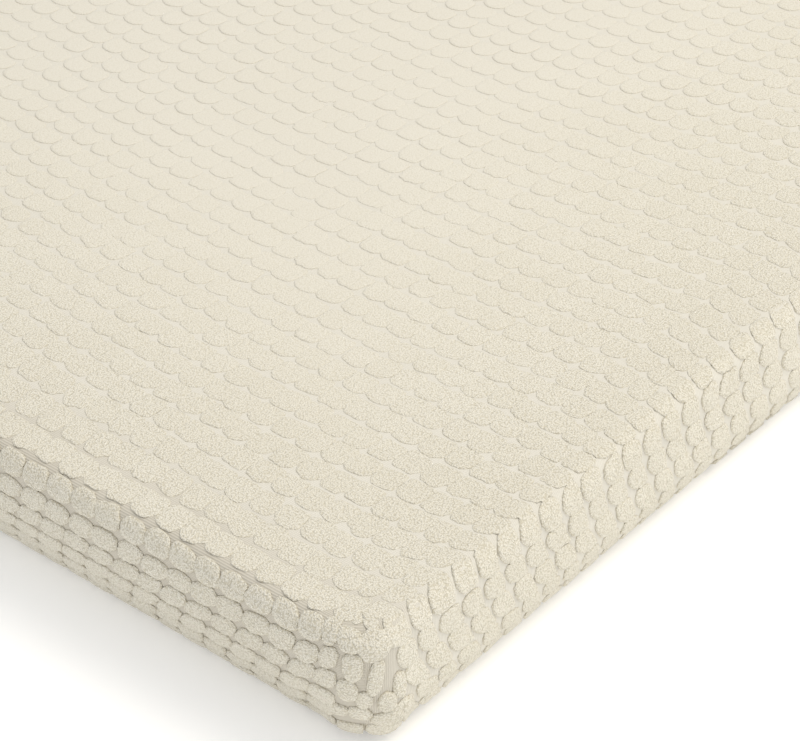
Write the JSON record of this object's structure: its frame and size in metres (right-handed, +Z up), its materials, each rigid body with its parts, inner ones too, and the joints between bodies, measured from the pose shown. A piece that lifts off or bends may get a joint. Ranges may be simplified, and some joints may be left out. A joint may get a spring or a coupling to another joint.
{
  "type": "fitted sheet on a mattress",
  "caption": "Pile fitted sheet with a raised pad pattern, stretched over a slim rounded mattress, with darted corners and a hem turned in underneath.",
  "frame": {"origin": "middle of the footprint, on the surface that the hem rests on", "axes": "+X across the width, +Y along the length, +Z up from the floor to the lying surface"},
  "size_m": [0.75, 0.95, 0.06],
  "materials": {
    "sheet_cloth": "matt looped pile in raised pads on a ribbed ground",
    "mattress_cover": "plain matt woven cover"
  },
  "bodies": {
    "root": {"fitted_sheet": "sheet_cloth", "mattress": "mattress_cover"}
  },
  "joints": []
}
